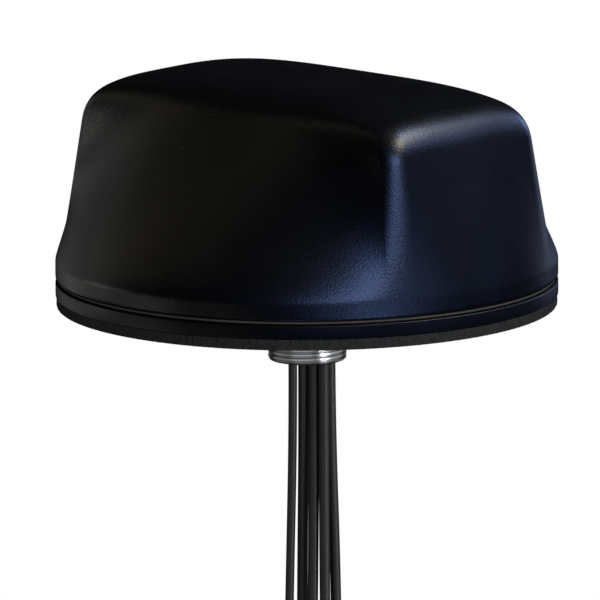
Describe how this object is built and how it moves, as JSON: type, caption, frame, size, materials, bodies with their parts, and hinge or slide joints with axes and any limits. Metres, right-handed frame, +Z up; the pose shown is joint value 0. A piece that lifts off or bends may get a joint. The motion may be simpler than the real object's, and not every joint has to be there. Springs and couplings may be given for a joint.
{
  "type": "gnss receiver antenna dome",
  "caption": "Stud-mount dome with a satellite-positioning receiver and radio elements: round base, crowned rounded-rectangle top, hollow threaded stud, hanging coaxial leads with plugs.",
  "frame": {"origin": "on the stud's axis, in the plane of the mounting pad's underside", "axes": "+Z up along the stud's axis, away from the leads; +X along the long side of the dome's top; +Y across it"},
  "size_m": [0.16, 0.16, 0.3891],
  "materials": {
    "radome_plastic": "satin black moulded ABS with a fine spark-eroded grain",
    "seal_rubber": "grey moulded silicone rubber",
    "base_coat": "satin black powder coat on cast aluminium",
    "pad_foam": "dark grey closed-cell foam rubber",
    "stud_metal": "turned and threaded zinc-plated steel",
    "grommet_rubber": "black rubber",
    "chassis_sheet": "plain rolled sheet",
    "brass": "turned brass",
    "board_laminate": "green solder mask on glass-fibre laminate",
    "ceramic": "unglazed dielectric ceramic",
    "silver_print": "fired silver print",
    "tinned_steel": "tin-plated steel sheet",
    "gold_plate": "gold-plated brass",
    "copper": "etched copper foil",
    "zinc_screw": "zinc-plated steel",
    "lead_jacket": "black extruded PVC cable jacket",
    "shrink_sleeve": "black heat-shrink sleeve",
    "insulator_white": "white fluoropolymer",
    "nickel_nut": "nickel-plated brass, turned and milled"
  },
  "bodies": {
    "antenna": {"radome": "radome_plastic", "radome_seal": "seal_rubber", "base_plate": "base_coat", "mounting_pad": "pad_foam", "threaded_stud": "stud_metal", "cable_grommet": "grommet_rubber", "chassis_plate": "chassis_sheet", "board_standoffs": "brass", "receiver_board": "board_laminate", "patch_tile_lower": "ceramic", "patch_electrode_lower": "silver_print", "patch_tile_upper": "ceramic", "patch_electrode_upper": "silver_print", "patch_feed_pin": "brass", "shield_can": "tinned_steel", "gnss_jack": "gold_plate", "cell_board_left": "board_laminate", "cell_board_right": "board_laminate", "wifi_board_front": "board_laminate", "wifi_board_rear": "board_laminate", "element_radiators": "copper", "element_brackets": "tinned_steel", "element_jacks": "gold_plate", "stud_screws": "zinc_screw", "radome_screws": "zinc_screw", "chassis_screws": "zinc_screw", "board_screws": "zinc_screw", "bracket_screws": "zinc_screw", "plug_boots": "shrink_sleeve", "plug_ferrules": "tinned_steel", "plug_insulators": "insulator_white", "plug_pins": "gold_plate", "gnss_lead": "lead_jacket", "gnss_inner_lead": "lead_jacket", "gnss_plug": "gold_plate", "cell_left_lead": "lead_jacket", "cell_left_inner_lead": "lead_jacket", "cell_left_plug": "gold_plate", "wifi_front_lead": "lead_jacket", "wifi_front_inner_lead": "lead_jacket", "wifi_front_plug": "gold_plate", "cell_right_lead": "lead_jacket", "cell_right_inner_lead": "lead_jacket", "cell_right_plug": "gold_plate", "wifi_rear_lead": "lead_jacket", "wifi_rear_inner_lead": "lead_jacket", "wifi_rear_plug": "gold_plate"},
    "gnss_nut": {"gnss_nut": "nickel_nut"},
    "cell_left_nut": {"cell_left_nut": "nickel_nut"},
    "wifi_front_nut": {"wifi_front_nut": "nickel_nut"},
    "cell_right_nut": {"cell_right_nut": "nickel_nut"},
    "wifi_rear_nut": {"wifi_rear_nut": "nickel_nut"}
  },
  "joints": [
    {"name": "gnss_nut_spin", "type": "hinge", "parent": "antenna", "child": "gnss_nut", "pos_m": [-0.0068, -0.0059, -0.308], "axis": [0, 0, 1], "continuous": true},
    {"name": "cell_left_nut_spin", "type": "hinge", "parent": "antenna", "child": "cell_left_nut", "pos_m": [-0.0078, 0.0046, -0.308], "axis": [0, 0, 1], "continuous": true},
    {"name": "wifi_front_nut_spin", "type": "hinge", "parent": "antenna", "child": "wifi_front_nut", "pos_m": [0.0035, -0.0083, -0.308], "axis": [0, 0, 1], "continuous": true},
    {"name": "cell_right_nut_spin", "type": "hinge", "parent": "antenna", "child": "cell_right_nut", "pos_m": [0.009, 0.0008, -0.308], "axis": [0, 0, 1], "continuous": true},
    {"name": "wifi_rear_nut_spin", "type": "hinge", "parent": "antenna", "child": "wifi_rear_nut", "pos_m": [0.002, 0.0089, -0.308], "axis": [0, 0, 1], "continuous": true}
  ]
}
